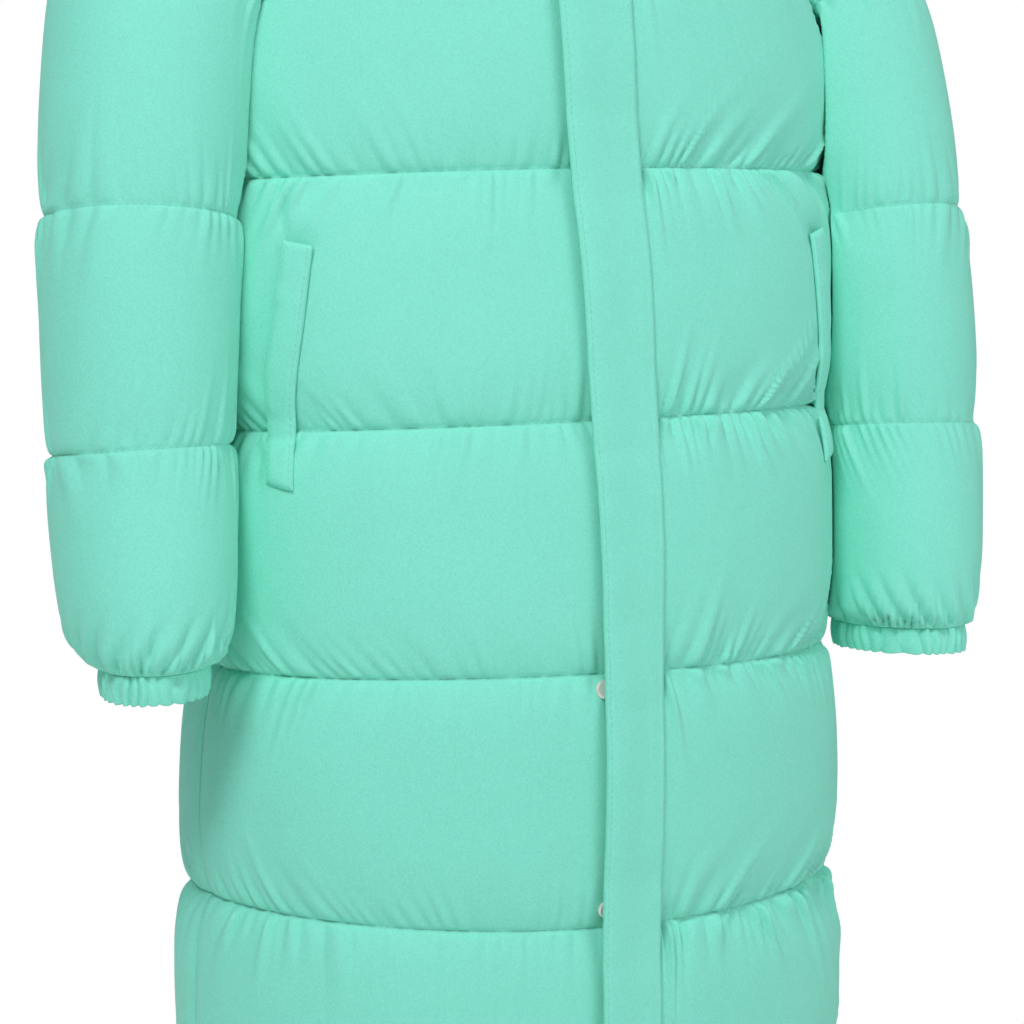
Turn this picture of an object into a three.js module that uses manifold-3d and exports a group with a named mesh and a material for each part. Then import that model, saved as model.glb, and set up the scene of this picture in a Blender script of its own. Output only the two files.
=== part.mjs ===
// A long quilted puffer coat, closed and standing in its worn shape with no wearer.
// Millimetres, +Z up. The origin is the middle of the neck base, the wearer faces -Y, and the wearer's right is -X.
// Every piece is a padded wall: a plain inside with the quilted channels raised in its outer points.
import * as THREE from 'three';
import Module from 'manifold-3d';

const wasm = await Module();
wasm.setup();

// Driving dimensions
const SEAM_GAP = 0.3; // clear space between two pieces sewn together
const WALL = 3; // padded wall at a channel seam
const BODY_PUFF = 10; // how far a body channel stands out of its seams
const SIDE_FULLNESS = 0.35; // how much more the channels fill at the sides than in front
const FULLEST_EARLY = 0.86; // under 1 a channel fills out quickly under its upper seam and tapers to the lower one
const COLLAR_PUFF = 7;
const SLEEVE_PUFF = 5;
const ARMHOLE_FADE = 11; // distance over which the puff dies down to the armhole seam
const SLEEVE_CLEARANCE = 1.2; // between a hanging sleeve and the fullest part of the body
const SLEEVE_FOLLOW = 0.45; // the share of the body's puff that a sleeve keeps clear of beside a seam
const PRESS_START = 14; // above the underarm, where the body starts to press a sleeve out
const PRESS_FULL = 20; // below the underarm, where it presses fully
const ARMHOLE_CUT = 0.5; // how far inside the sleeve's wall the armhole is cut
const FIRST_SEAM_Z = -171; // the seam of the channels nearest the underarm
const UNDERARM_Z = -212;
const SIDE_SEAM_ANGLE = -6; // degrees round from the extreme side, towards the front
const CENTRE_FRONT_ANGLE = -88.5; // the fronts meet under the flap
const FRONT_COLUMNS = 11;
const BACK_COLUMNS = 22;
const SLEEVE_COLUMNS = 24;
const CUFF_COLUMNS = 48;
const CUFF_FOLDS = 12;
const CUFF_FOLD_DEPTH = 1.3;
const CUFF_HEIGHT = 18;
const CUFF_WALL = 3;
const CUFF_TAPER = 1.5; // how much narrower the cuff's end is than its top
const CUFF_DRIFT = 0.15; // how far the cuff slopes to the front for each millimetre down
const FLAP_THICKNESS = 3.2;
const FLAP_LIFT = 5.4; // the free edge clears the snaps
const FLAP_SEAT = 1.4; // the attached edge lies on the left front
const FLAP_HEM_MARGIN = 6;
const FLAP_BRIDGE = 0.8; // the share of the full puff at which the flap passes over a seam
const CHANNEL_HEIGHT = 158; // from one seam of the body to the next
const WELT_THICKNESS = 4;
const WELT_SEAT = 0.8;
const WELT_BRIDGE = 0.5;
const SNAP_RADIUS = 6.25;
const SNAP_HEIGHT = 2.6;
const SNAP_SEAT = 0.15;
const SNAP_SIDES = 28;

// Steps down one channel, from a seam to just above the next one
const CHANNEL_STEPS = [0, 0.07, 0.22, 0.45, 0.7, 0.9];
// The seams of the body: neckline is 0, then one for each channel down to the hem
const BODY_SEAMS = 7;
const SLEEVE_SEAMS = 4;

// Sections round the body. turn counts the channels from the neckline down, and the heights are at the sides,
// the centre front and the centre back; tilt lifts the wearer's left side and lowers the right one.
const BODY_SECTIONS = [
  { turn: -1, sideZ: 70, frontZ: 20, backZ: 78, tilt: 0, half: 79, front: 73, back: 60 },
  { turn: 0, sideZ: -4, frontZ: -56, backZ: 8, tilt: 0, half: 82, front: 64, back: 56 },
  { turn: 0.25, sideZ: -27, frontZ: -84, backZ: -32, tilt: 0, half: 138, front: 74.5, back: 87.5 },
  { turn: 0.5, sideZ: -56, frontZ: -112, backZ: -78, tilt: 0, half: 188, front: 83, back: 109 },
  { turn: 0.75, sideZ: -105, frontZ: -140, backZ: -124, tilt: 0, half: 208, front: 88, back: 120 },
  { turn: 1, sideZ: -171, frontZ: -171, backZ: -171, tilt: 3, half: 217, front: 93, back: 127 },
  { turn: 2, sideZ: -333, frontZ: -330, backZ: -331, tilt: 6, half: 223, front: 110, back: 141 },
  { turn: 3, sideZ: -492, frontZ: -490, backZ: -490, tilt: 5, half: 219.5, front: 134, back: 149 },
  { turn: 4, sideZ: -653, frontZ: -650, backZ: -650, tilt: -2, half: 220.5, front: 150, back: 154 },
  { turn: 5, sideZ: -806, frontZ: -815, backZ: -806, tilt: -6, half: 228, front: 148, back: 155 },
  { turn: 6, sideZ: -961, frontZ: -970, backZ: -961, tilt: -4, half: 231, front: 146, back: 155 },
  { turn: 7, sideZ: -1117, frontZ: -1121, backZ: -1117, tilt: 0, half: 231, front: 145, back: 154 },
];

// Sections along each sleeve, with x away from the body. turn 1 to 4 are its seams, lean is how far the section tips
// over from upright and nod how far its back drops, across and along are its half widths, and twist turns them.
const LEFT_SLEEVE_SECTIONS = [
  { turn: 0, x: 122, y: 4, z: -112, lean: 28, nod: 0, across: 62, along: 62, twist: 0 },
  { turn: 0.35, x: 165, y: 5, z: -134, lean: 36, nod: 0, across: 70, along: 68, twist: 0 },
  { turn: 0.7, x: 203, y: 4, z: -162, lean: 48, nod: 2, across: 70, along: 67, twist: 0 },
  { turn: 1, x: 232, y: 0, z: -199, lean: 62, nod: 4, across: 66, along: 64, twist: 0 },
  { turn: 1.3, x: 250, y: -7, z: -243, lean: 76, nod: 6, across: 63.5, along: 62.5, twist: 0 },
  { turn: 2, x: 268, y: -26, z: -357, lean: 87, nod: 8, across: 59, along: 58.5, twist: 0 },
  { turn: 3, x: 278, y: -41, z: -505, lean: 91, nod: 5, across: 56, along: 55.5, twist: 0 },
  { turn: 3.55, x: 277, y: -51, z: -588, lean: 90, nod: 2, across: 51, along: 55.5, twist: 12 },
  { turn: 3.86, x: 273, y: -55, z: -630, lean: 90, nod: 0, across: 45.5, along: 54, twist: 21 },
  { turn: 4, x: 272, y: -57, z: -644, lean: 90, nod: 0, across: 36, along: 50, twist: 25 },
];
const RIGHT_SLEEVE_SECTIONS = [
  { turn: 0, x: 122, y: 4, z: -112, lean: 28, nod: 0, across: 62, along: 62, twist: 0 },
  { turn: 0.35, x: 166, y: 4, z: -134, lean: 36, nod: 0, across: 70, along: 68, twist: 0 },
  { turn: 0.7, x: 206, y: 1, z: -162, lean: 48, nod: 2, across: 70, along: 67, twist: 0 },
  { turn: 1, x: 238, y: -5, z: -199, lean: 62, nod: 4, across: 66, along: 64, twist: 0 },
  { turn: 1.3, x: 257, y: -12, z: -243, lean: 76, nod: 6, across: 63.5, along: 62.5, twist: 0 },
  { turn: 2, x: 271.5, y: -26, z: -364, lean: 87, nod: 8, across: 59.5, along: 58.5, twist: 0 },
  { turn: 3, x: 277.5, y: -38, z: -507, lean: 92, nod: 5, across: 54.5, along: 55.5, twist: 0 },
  { turn: 3.55, x: 279, y: -50, z: -588, lean: 90, nod: 2, across: 51.5, along: 55.5, twist: 12 },
  { turn: 3.86, x: 278, y: -54, z: -626, lean: 90, nod: 0, across: 45, along: 54, twist: 21 },
  { turn: 4, x: 276, y: -56, z: -640, lean: 90, nod: 0, across: 33.5, along: 49, twist: 25 },
];

// The flap over the centre front: its free and attached edges at each height
const FLAP_EDGES = [
  { turn: -1, free: -22, attached: 26 },
  { turn: 0, free: -24, attached: 27 },
  { turn: 1.36, free: -24, attached: 28 },
  { turn: 2.4, free: -18, attached: 32 },
  { turn: 3.35, free: -16, attached: 30 },
  { turn: 4.1, free: -15, attached: 27 },
  { turn: 5, free: -15, attached: 27 },
  { turn: 7, free: -15, attached: 28 },
];
const FLAP_ACROSS = [0, 0.06, 0.35, 0.7, 0.94, 1];

// The welt of the wearer's right pocket: the angles of its two long edges at each height
const WELT_EDGES = [
  { turn: 2.25, outer: -147, inner: -140.8 },
  { turn: 2.55, outer: -150.2, inner: -143.6 },
  { turn: 2.88, outer: -153.8, inner: -147 },
  { turn: 3.21, outer: -153.4, inner: -147.4 },
];
const WELT_ROWS = 14;
const WELT_SLANT = 0.03; // how much lower the inner edge ends, in turns
const WELT_ACROSS = [0, 0.12, 0.5, 0.88, 1];

// The middle line of the top of the wearer's left sleeve, where the armhole's flat border is kept
const UPPER_ARM_START = new THREE.Vector3(150, 1, -126);
const UPPER_ARM_END = new THREE.Vector3(226, -9, -180);
const ARMHOLE_HALF_WIDTH = 61;

// Heights of the snaps along the right front, as turns of the channels,
// and how far under the flap's free edge each one sits
const SNAPS = [
  { turn: 0.62, inset: 12 },
  { turn: 1.42, inset: 12 },
  { turn: 2.3, inset: 12 },
  { turn: 3.18, inset: 12 },
  { turn: 4.06, inset: 3 },
  { turn: 4.915, inset: 6 },
  { turn: 5.82, inset: 12 },
  { turn: 6.7, inset: 12 },
];

const degrees = (angle) => (angle * Math.PI) / 180;
const lerp = (a, b, t) => a + (b - a) * t;
const clamp = (value, low, high) => Math.min(high, Math.max(low, value));

function smoothstep(low, high, value) {
  const t = clamp((value - low) / (high - low), 0, 1);
  return t * t * (3 - 2 * t);
}

// A row of a table at any turn between its rows, straight or smooth
function rowAt(table, turn, smooth) {
  const last = table.length - 2;
  let index = table.findIndex((row, k) => k <= last && turn <= table[k + 1].turn);
  if (index < 0) index = last;
  const start = table[index];
  const end = table[index + 1];
  const t = clamp((turn - start.turn) / (end.turn - start.turn), 0, 1);
  const before = table[Math.max(0, index - 1)];
  const after = table[Math.min(table.length - 1, index + 2)];
  const result = {};
  for (const key of Object.keys(start)) {
    if (!smooth) {
      result[key] = lerp(start[key], end[key], t);
      continue;
    }
    const span = end.turn - start.turn;
    const slopeIn = (end[key] - before[key]) / (end.turn - before.turn) * span;
    const slopeOut = (after[key] - start[key]) / (after.turn - start.turn) * span;
    const t2 = t * t;
    const t3 = t2 * t;
    result[key] = (2 * t3 - 3 * t2 + 1) * start[key] + (t3 - 2 * t2 + t) * slopeIn
      + (3 * t2 - 2 * t3) * end[key] + (t3 - t2) * slopeOut;
  }
  return result;
}

const BODY_BELOW_NECK = BODY_SECTIONS.slice(1);

function bodySection(turn) {
  return turn < 0 ? rowAt(BODY_SECTIONS, turn, false) : rowAt(BODY_BELOW_NECK, turn, true);
}

// A point of the plain shape under the quilting, at an angle from the wearer's left (0) to the front (-90)
function bodyBase(turn, angle) {
  const row = bodySection(turn);
  const cos = Math.cos(degrees(angle));
  const sin = Math.sin(degrees(angle));
  const isFront = sin < 0;
  const depth = isFront ? row.front : row.back;
  const middleZ = isFront ? row.frontZ : row.backZ;
  const z = row.sideZ * cos * cos + middleZ * sin * sin + row.tilt * cos;
  return new THREE.Vector3(row.half * cos, depth * sin, z);
}

function bodyNormal(turn, angle) {
  const step = 0.02;
  const low = turn < 0 ? Math.max(-1, turn - step) : Math.max(0, turn - step);
  const high = turn < 0 ? Math.min(0, turn + step) : Math.min(BODY_SEAMS, turn + step);
  const down = bodyBase(high, angle).sub(bodyBase(low, angle));
  const round = bodyBase(turn, angle + 0.5).sub(bodyBase(turn, angle - 0.5));
  return down.cross(round).normalize();
}

// How full a channel is at a fraction of its height: pinched at both seams, fullest a little above the middle
function channelFullness(fraction) {
  const fromMiddle = Math.abs(2 * Math.pow(fraction, FULLEST_EARLY) - 1);
  return Math.pow(Math.max(0, 1 - Math.pow(fromMiddle, 2.6)), 0.6);
}

const fractionOf = (turn) => turn - Math.floor(turn);

// The distance from a point to the middle line of the nearer sleeve, less the sleeve's half width there
function clearOfArmhole(point) {
  const side = new THREE.Vector3(Math.abs(point.x), point.y, point.z);
  const along = UPPER_ARM_END.clone().sub(UPPER_ARM_START);
  const t = clamp(side.clone().sub(UPPER_ARM_START).dot(along) / along.lengthSq(), 0, 1);
  return side.distanceTo(UPPER_ARM_START.clone().addScaledVector(along, t)) - ARMHOLE_HALF_WIDTH;
}

function bodyPuff(turn, angle) {
  const isCollar = turn < 0;
  const full = channelFullness(fractionOf(turn)) * (isCollar ? COLLAR_PUFF : BODY_PUFF);
  const armhole = smoothstep(0, ARMHOLE_FADE, clearOfArmhole(bodyBase(turn, angle)));
  const neck = isCollar ? 1 : smoothstep(-0.05, 0.3, turn);
  const aside = 1 + SIDE_FULLNESS * Math.cos(degrees(angle)) ** 2;
  return full * aside * armhole * neck;
}

function bodyOuter(turn, angle, out = 0) {
  const point = bodyBase(turn, angle);
  return point.addScaledVector(bodyNormal(turn, angle), bodyPuff(turn, angle) + out);
}

// The angle of a panel's edge, kept half a seam gap back from the seam itself
function edgeAngle(turn, angle, side) {
  const step = 0.1;
  const speed = bodyBase(turn, angle + step).distanceTo(bodyBase(turn, angle - step)) / (2 * step);
  return angle + side * (SEAM_GAP / 2) / speed;
}

function geometryOf(points, triangles) {
  const geometry = new THREE.BufferGeometry();
  geometry.setAttribute('position', new THREE.Float32BufferAttribute(points.flatMap((p) => [p.x, p.y, p.z]), 3));
  geometry.setIndex(triangles);
  return geometry;
}

// Triangles of a grid of points: rows of equal length, facing the side that down x across points to
function gridTriangles(start, rows, columns, closed, flipped) {
  const triangles = [];
  const spans = closed ? columns : columns - 1;
  for (let r = 0; r < rows - 1; r++) {
    for (let c = 0; c < spans; c++) {
      const a = start + r * columns + c;
      const b = start + r * columns + (c + 1) % columns;
      const d = a + columns;
      const e = b + columns;
      if (flipped) triangles.push(a, b, d, b, e, d);
      else triangles.push(a, d, b, b, d, e);
    }
  }
  return triangles;
}

// Triangles between two lines of points that run the same way but have different steps
function zipperTriangles(lineA, lineB, turnsA, turnsB, flipped) {
  const triangles = [];
  let a = 0;
  let b = 0;
  while (a < lineA.length - 1 || b < lineB.length - 1) {
    const moveA = b === lineB.length - 1 || (a < lineA.length - 1 && turnsA[a + 1] <= turnsB[b + 1]);
    const face = moveA ? [lineA[a], lineA[a + 1], lineB[b]] : [lineA[a], lineB[b + 1], lineB[b]];
    if (flipped) face.reverse();
    triangles.push(...face);
    if (moveA) a += 1;
    else b += 1;
  }
  return triangles;
}

// A padded wall from an outer and an inner grid with the same columns. An open one has rims on its two long edges.
function wallGeometry(outerRows, innerRows, outerTurns, innerTurns, closed) {
  const columns = outerRows[0].length;
  const points = [...outerRows.flat(), ...innerRows.flat()];
  const innerStart = outerRows.length * columns;
  const triangles = gridTriangles(0, outerRows.length, columns, closed, false);
  triangles.push(...gridTriangles(innerStart, innerRows.length, columns, closed, true));
  const lastOuter = (outerRows.length - 1) * columns;
  const lastInner = innerStart + (innerRows.length - 1) * columns;
  const spans = closed ? columns : columns - 1;
  for (let c = 0; c < spans; c++) {
    const n = (c + 1) % columns;
    triangles.push(c, n, innerStart + c, n, innerStart + n, innerStart + c);
    triangles.push(lastOuter + c, lastInner + c, lastOuter + n, lastOuter + n, lastInner + c, lastInner + n);
  }
  if (!closed) {
    for (const column of [0, columns - 1]) {
      const lineA = outerRows.map((row, r) => r * columns + column);
      const lineB = innerRows.map((row, r) => innerStart + r * columns + column);
      triangles.push(...zipperTriangles(lineA, lineB, outerTurns, innerTurns, column === 0));
    }
  }
  return geometryOf(points, triangles);
}

function toManifold(geometry) {
  return new wasm.Manifold(new wasm.Mesh({
    numProp: 3,
    vertProperties: new Float32Array(geometry.attributes.position.array),
    triVerts: new Uint32Array(geometry.index.array),
  }));
}

function fromManifold(solid) {
  const mesh = solid.getMesh();
  const geometry = new THREE.BufferGeometry();
  geometry.setAttribute('position', new THREE.BufferAttribute(new Float32Array(mesh.vertProperties), 3));
  geometry.setIndex(Array.from(mesh.triVerts));
  return geometry;
}

function channelTurns(first, last, steps) {
  const turns = [];
  for (let seam = first; seam < last; seam++) {
    for (const step of steps) turns.push(seam + step);
  }
  turns.push(last);
  return turns;
}

function mirrored(geometry) {
  const copy = geometry.clone();
  const position = copy.attributes.position;
  for (let i = 0; i < position.count; i++) position.setX(i, -position.getX(i));
  const index = copy.index.array;
  const flipped = [];
  for (let i = 0; i < index.length; i += 3) flipped.push(index[i], index[i + 2], index[i + 1]);
  copy.setIndex(flipped);
  return copy;
}

const evenAngles = (from, to, columns) => {
  return Array.from({ length: columns + 1 }, (unused, c) => lerp(from, to, c / columns));
};

// One body panel or the collar, over a list of angles and between two turns
function panelGeometry(angles, outerTurns, innerTurns, topGap) {
  const rowOf = (turn, pointAt) => angles.map((angle, c) => {
    if (c === 0) return pointAt(turn, edgeAngle(turn, angle, 1));
    if (c === angles.length - 1) return pointAt(turn, edgeAngle(turn, angle, -1));
    return pointAt(turn, angle);
  });
  const lower = (turn, point) => (turn === outerTurns[0] ? point.setZ(point.z - topGap) : point);
  const outer = outerTurns.map((turn) => rowOf(turn, (t, a) => lower(t, bodyOuter(t, a))));
  const inner = innerTurns.map((turn) => rowOf(turn, (t, a) => {
    return lower(t, bodyBase(t, a).addScaledVector(bodyNormal(t, a), -WALL));
  }));
  return wallGeometry(outer, inner, outerTurns, innerTurns, false);
}

const FRONT_RIGHT_ANGLES = evenAngles(-180 - SIDE_SEAM_ANGLE, CENTRE_FRONT_ANGLE, FRONT_COLUMNS);
const FRONT_LEFT_ANGLES = evenAngles(CENTRE_FRONT_ANGLE, SIDE_SEAM_ANGLE, FRONT_COLUMNS);
const BACK_ANGLES = evenAngles(SIDE_SEAM_ANGLE, 180 - SIDE_SEAM_ANGLE, BACK_COLUMNS);
// All the way round from the centre front
const ROUND_ANGLES = [
  ...FRONT_LEFT_ANGLES,
  ...BACK_ANGLES.slice(1),
  ...FRONT_RIGHT_ANGLES.slice(1).map((angle) => angle + 360),
];

// The body as one filled shape, a seam gap larger than its panels, for trimming the sleeves
function filledBody() {
  const columns = ROUND_ANGLES.length - 1;
  const turns = channelTurns(0, BODY_SEAMS - 2, CHANNEL_STEPS);
  const points = [];
  for (const turn of turns) {
    for (let c = 0; c < columns; c++) {
      points.push(bodyOuter(turn, ROUND_ANGLES[c], SEAM_GAP));
    }
  }
  const triangles = gridTriangles(0, turns.length, columns, true, false);
  for (const [row, flipped] of [[0, false], [turns.length - 1, true]]) {
    const middle = new THREE.Vector3();
    for (let c = 0; c < columns; c++) middle.addScaledVector(points[row * columns + c], 1 / columns);
    points.push(middle);
    for (let c = 0; c < columns; c++) {
      const a = row * columns + c;
      const b = row * columns + (c + 1) % columns;
      if (flipped) triangles.push(a, points.length - 1, b);
      else triangles.push(a, b, points.length - 1);
    }
  }
  return toManifold(geometryOf(points, triangles));
}

// The side of the body at its fullest, which a sleeve hangs clear of
function bodySide(y, z) {
  const turn = clamp(1 + (FIRST_SEAM_Z - z) / CHANNEL_HEIGHT, 1, BODY_SEAMS - 1);
  const row = bodySection(turn);
  const puff = BODY_PUFF * (1 + SIDE_FULLNESS) * lerp(SLEEVE_FOLLOW, 1, channelFullness(fractionOf(turn)));
  const half = row.half + puff;
  const depth = (y < 0 ? row.front : row.back) + puff;
  return half * Math.sqrt(Math.max(0, 1 - (y / depth) ** 2));
}

function clearOfBody(point, extra) {
  const below = smoothstep(UNDERARM_Z + PRESS_START, UNDERARM_Z - PRESS_FULL, point.z);
  const side = bodySide(point.y, point.z) + SLEEVE_CLEARANCE + extra;
  if (point.x < side) point.x = lerp(point.x, side, below);
  return point;
}

// A point of a sleeve, around 0 outwards and 90 to the back, moved out of its plain shape
function sleevePoint(sections, turn, angle, out) {
  const row = rowAt(sections, turn, true);
  const nod = degrees(row.nod);
  const lean = degrees(row.lean);
  const outward = new THREE.Vector3(Math.sin(lean), 0, Math.cos(lean));
  const back = new THREE.Vector3(0, Math.cos(nod), -Math.sin(nod));
  const local = degrees(angle);
  const twist = degrees(row.twist);
  const x = (row.across + out) * Math.cos(local);
  const y = (row.along + out) * Math.sin(local);
  return new THREE.Vector3(row.x, row.y, row.z)
    .addScaledVector(outward, x * Math.cos(twist) - y * Math.sin(twist))
    .addScaledVector(back, x * Math.sin(twist) + y * Math.cos(twist));
}

function sleevePuff(turn) {
  return SLEEVE_PUFF * channelFullness(fractionOf(turn)) * smoothstep(0.55, 1.1, turn);
}

const ringAngles = (count) => Array.from({ length: count }, (unused, c) => (360 * c) / count);

function sleeveRows(sections, turns, outAt, extra) {
  return turns.map((turn) => ringAngles(SLEEVE_COLUMNS).map((angle) => {
    return clearOfBody(sleevePoint(sections, turn, angle, outAt(turn)), extra);
  }));
}

// A sleeve on the wearer's left before its upper end is trimmed to the body
function sleeveTube(sections) {
  const outerTurns = channelTurns(0, SLEEVE_SEAMS, CHANNEL_STEPS);
  const innerTurns = channelTurns(0, SLEEVE_SEAMS, [0, 0.35, 0.7]);
  const outer = sleeveRows(sections, outerTurns, sleevePuff, 0);
  const inner = sleeveRows(sections, innerTurns, () => -WALL, WALL);
  return wallGeometry(outer, inner, outerTurns, innerTurns, true);
}

// The hollow of the sleeve's upper end, which cuts the armhole in the body
function sleeveHollow(sections) {
  const turns = channelTurns(0, 1, CHANNEL_STEPS);
  turns.push(1.22);
  const rows = sleeveRows(sections, turns, () => -WALL - ARMHOLE_CUT, WALL);
  const columns = SLEEVE_COLUMNS;
  const points = rows.flat();
  const triangles = gridTriangles(0, rows.length, columns, true, false);
  for (const [row, flipped] of [[0, false], [rows.length - 1, true]]) {
    const middle = new THREE.Vector3();
    for (const point of rows[row]) middle.addScaledVector(point, 1 / columns);
    points.push(middle);
    for (let c = 0; c < columns; c++) {
      const a = row * columns + c;
      const b = row * columns + (c + 1) % columns;
      if (flipped) triangles.push(a, points.length - 1, b);
      else triangles.push(a, b, points.length - 1);
    }
  }
  return toManifold(geometryOf(points, triangles));
}

// The gathered cuff, hung a seam gap below the sleeve
function cuffGeometry(sections) {
  const end = sections[sections.length - 1];
  const top = { ...end, z: end.z - SEAM_GAP };
  const rowOf = (drop, inset) => ringAngles(CUFF_COLUMNS).map((angle) => {
    const fold = CUFF_FOLD_DEPTH * Math.cos(degrees(angle * CUFF_FOLDS));
    const local = degrees(angle);
    const twist = degrees(top.twist);
    const narrowing = CUFF_TAPER * drop / CUFF_HEIGHT;
    const x = (top.across - inset - narrowing + fold) * Math.cos(local);
    const y = (top.along - inset - narrowing + fold) * Math.sin(local);
    return new THREE.Vector3(
      top.x + x * Math.cos(twist) - y * Math.sin(twist),
      top.y - drop * CUFF_DRIFT + x * Math.sin(twist) + y * Math.cos(twist),
      top.z - drop,
    );
  });
  const drops = [0, CUFF_HEIGHT / 2, CUFF_HEIGHT];
  const outer = drops.map((drop) => rowOf(drop, 0));
  const inner = [0, CUFF_HEIGHT].map((drop) => rowOf(drop, CUFF_WALL));
  return wallGeometry(outer, inner, drops, [0, CUFF_HEIGHT], true);
}

// The angle round the body whose point has a given distance across the front
function angleAcross(turn, x) {
  return -degreesFromCos(x / bodySection(turn).half);
}

function degreesFromCos(value) {
  return (Math.acos(clamp(value, -1, 1)) * 180) / Math.PI;
}

// The fullness of the front near its middle, with the dips at the seams bridged by a piece that lies over them
function bridgedPuff(turn, angle, share) {
  const full = turn < 0 ? COLLAR_PUFF : BODY_PUFF;
  return Math.max(bodyPuff(turn, angle), full * share * smoothstep(-0.05, 0.3, Math.abs(turn)));
}

// A flat strip that lies on the body: a lower and an upper grid joined round all four edges
function stripGeometry(turns, across, pointAt) {
  const rows = turns.length;
  const columns = across.length;
  const points = [];
  for (const layer of [1, 0]) {
    for (const turn of turns) {
      for (const share of across) points.push(pointAt(turn, share, layer));
    }
  }
  const offset = rows * columns;
  const triangles = gridTriangles(0, rows, columns, false, false);
  triangles.push(...gridTriangles(offset, rows, columns, false, true));
  const border = [];
  for (let c = 0; c < columns - 1; c++) border.push(c);
  for (let r = 0; r < rows - 1; r++) border.push(r * columns + columns - 1);
  for (let c = columns - 1; c > 0; c--) border.push((rows - 1) * columns + c);
  for (let r = rows - 1; r > 0; r--) border.push(r * columns);
  border.forEach((a, k) => {
    const b = border[(k + 1) % border.length];
    triangles.push(a, b, a + offset, b, b + offset, a + offset);
  });
  return geometryOf(points, triangles);
}

function edgeRounding(share, edge, amount) {
  return share < edge || share > 1 - edge ? amount : 0;
}

function flap() {
  const turns = channelTurns(-1, BODY_SEAMS, CHANNEL_STEPS);
  turns[turns.length - 1] = BODY_SEAMS - FLAP_HEM_MARGIN / CHANNEL_HEIGHT;
  return stripGeometry(turns, FLAP_ACROSS, (turn, share, layer) => {
    const row = rowAt(FLAP_EDGES, turn, false);
    const angle = angleAcross(turn, lerp(row.free, row.attached, share));
    const seat = lerp(FLAP_LIFT, FLAP_SEAT, smoothstep(0.1, 0.75, share));
    const thickness = FLAP_THICKNESS - edgeRounding(share, 0.03, 0.8);
    const out = bridgedPuff(turn, angle, FLAP_BRIDGE) + seat + layer * thickness;
    return bodyBase(turn, angle).addScaledVector(bodyNormal(turn, angle), out);
  });
}

// The welt of one pocket, on the wearer's right or, mirrored, on the wearer's left
function welt(isRight) {
  const first = WELT_EDGES[0].turn;
  const last = WELT_EDGES[WELT_EDGES.length - 1].turn;
  const turns = Array.from({ length: WELT_ROWS + 1 }, (unused, r) => lerp(first, last, r / WELT_ROWS));
  return stripGeometry(turns, WELT_ACROSS, (turn, share, layer) => {
    const row = rowAt(WELT_EDGES, turn, true);
    const inward = isRight ? share : 1 - share;
    const rightAngle = lerp(row.outer, row.inner, inward);
    const angle = isRight ? rightAngle : -180 - rightAngle;
    const slanted = turn + WELT_SLANT * inward;
    const thickness = WELT_THICKNESS - edgeRounding(share, 0.05, 1.6);
    const out = bridgedPuff(slanted, angle, WELT_BRIDGE) + WELT_SEAT + layer * thickness;
    return bodyBase(slanted, angle).addScaledVector(bodyNormal(slanted, angle), out);
  });
}

// A closed snap between the right front and the flap: a low dished disc
function snap({ turn, inset }) {
  const row = rowAt(FLAP_EDGES, turn, false);
  const angle = angleAcross(turn, row.free + inset);
  const reach = SNAP_RADIUS / CHANNEL_HEIGHT;
  const down = bodyOuter(turn + reach, angle).sub(bodyOuter(turn - reach, angle));
  const across = bodyOuter(turn, angle + 1).sub(bodyOuter(turn, angle - 1));
  const normal = down.cross(across).normalize();
  const middle = bodyOuter(turn, angle);
  let highest = 0;
  for (const step of [-1, -0.75, -0.5, -0.25, 0.25, 0.5, 0.75, 1]) {
    const nearby = bodyOuter(turn + step * reach, angle);
    highest = Math.max(highest, nearby.sub(middle).dot(normal));
  }
  const profile = [
    [0, 0],
    [SNAP_RADIUS - 0.5, 0],
    [SNAP_RADIUS, 0.5],
    [SNAP_RADIUS, SNAP_HEIGHT - 0.9],
    [SNAP_RADIUS - 0.9, SNAP_HEIGHT],
    [0, SNAP_HEIGHT],
  ];
  const up = new THREE.Quaternion().setFromUnitVectors(new THREE.Vector3(0, 0, 1), normal);
  const seat = middle.addScaledVector(normal, highest + SNAP_SEAT);
  const place = (radius, height, c) => {
    const around = (2 * Math.PI * c) / SNAP_SIDES;
    return new THREE.Vector3(radius * Math.cos(around), radius * Math.sin(around), height)
      .applyQuaternion(up).add(seat);
  };
  const points = [place(0, 0, 0)];
  const rings = profile.slice(1, -1);
  for (const [radius, height] of rings) {
    for (let c = 0; c < SNAP_SIDES; c++) points.push(place(radius, height, c));
  }
  points.push(place(0, SNAP_HEIGHT, 0));
  const triangles = gridTriangles(1, rings.length, SNAP_SIDES, true, true);
  const top = points.length - 1;
  const lastRing = 1 + (rings.length - 1) * SNAP_SIDES;
  for (let c = 0; c < SNAP_SIDES; c++) {
    const n = (c + 1) % SNAP_SIDES;
    triangles.push(0, 1 + n, 1 + c);
    triangles.push(top, lastRing + c, lastRing + n);
  }
  return geometryOf(points, triangles);
}

function clothMaterial(color) {
  return new THREE.MeshStandardMaterial({ color, roughness: 0.75, metalness: 0, flatShading: true });
}

function metalMaterial() {
  return new THREE.MeshStandardMaterial({ color: 0xc9c2bd, roughness: 0.35, metalness: 1, flatShading: true });
}

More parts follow.
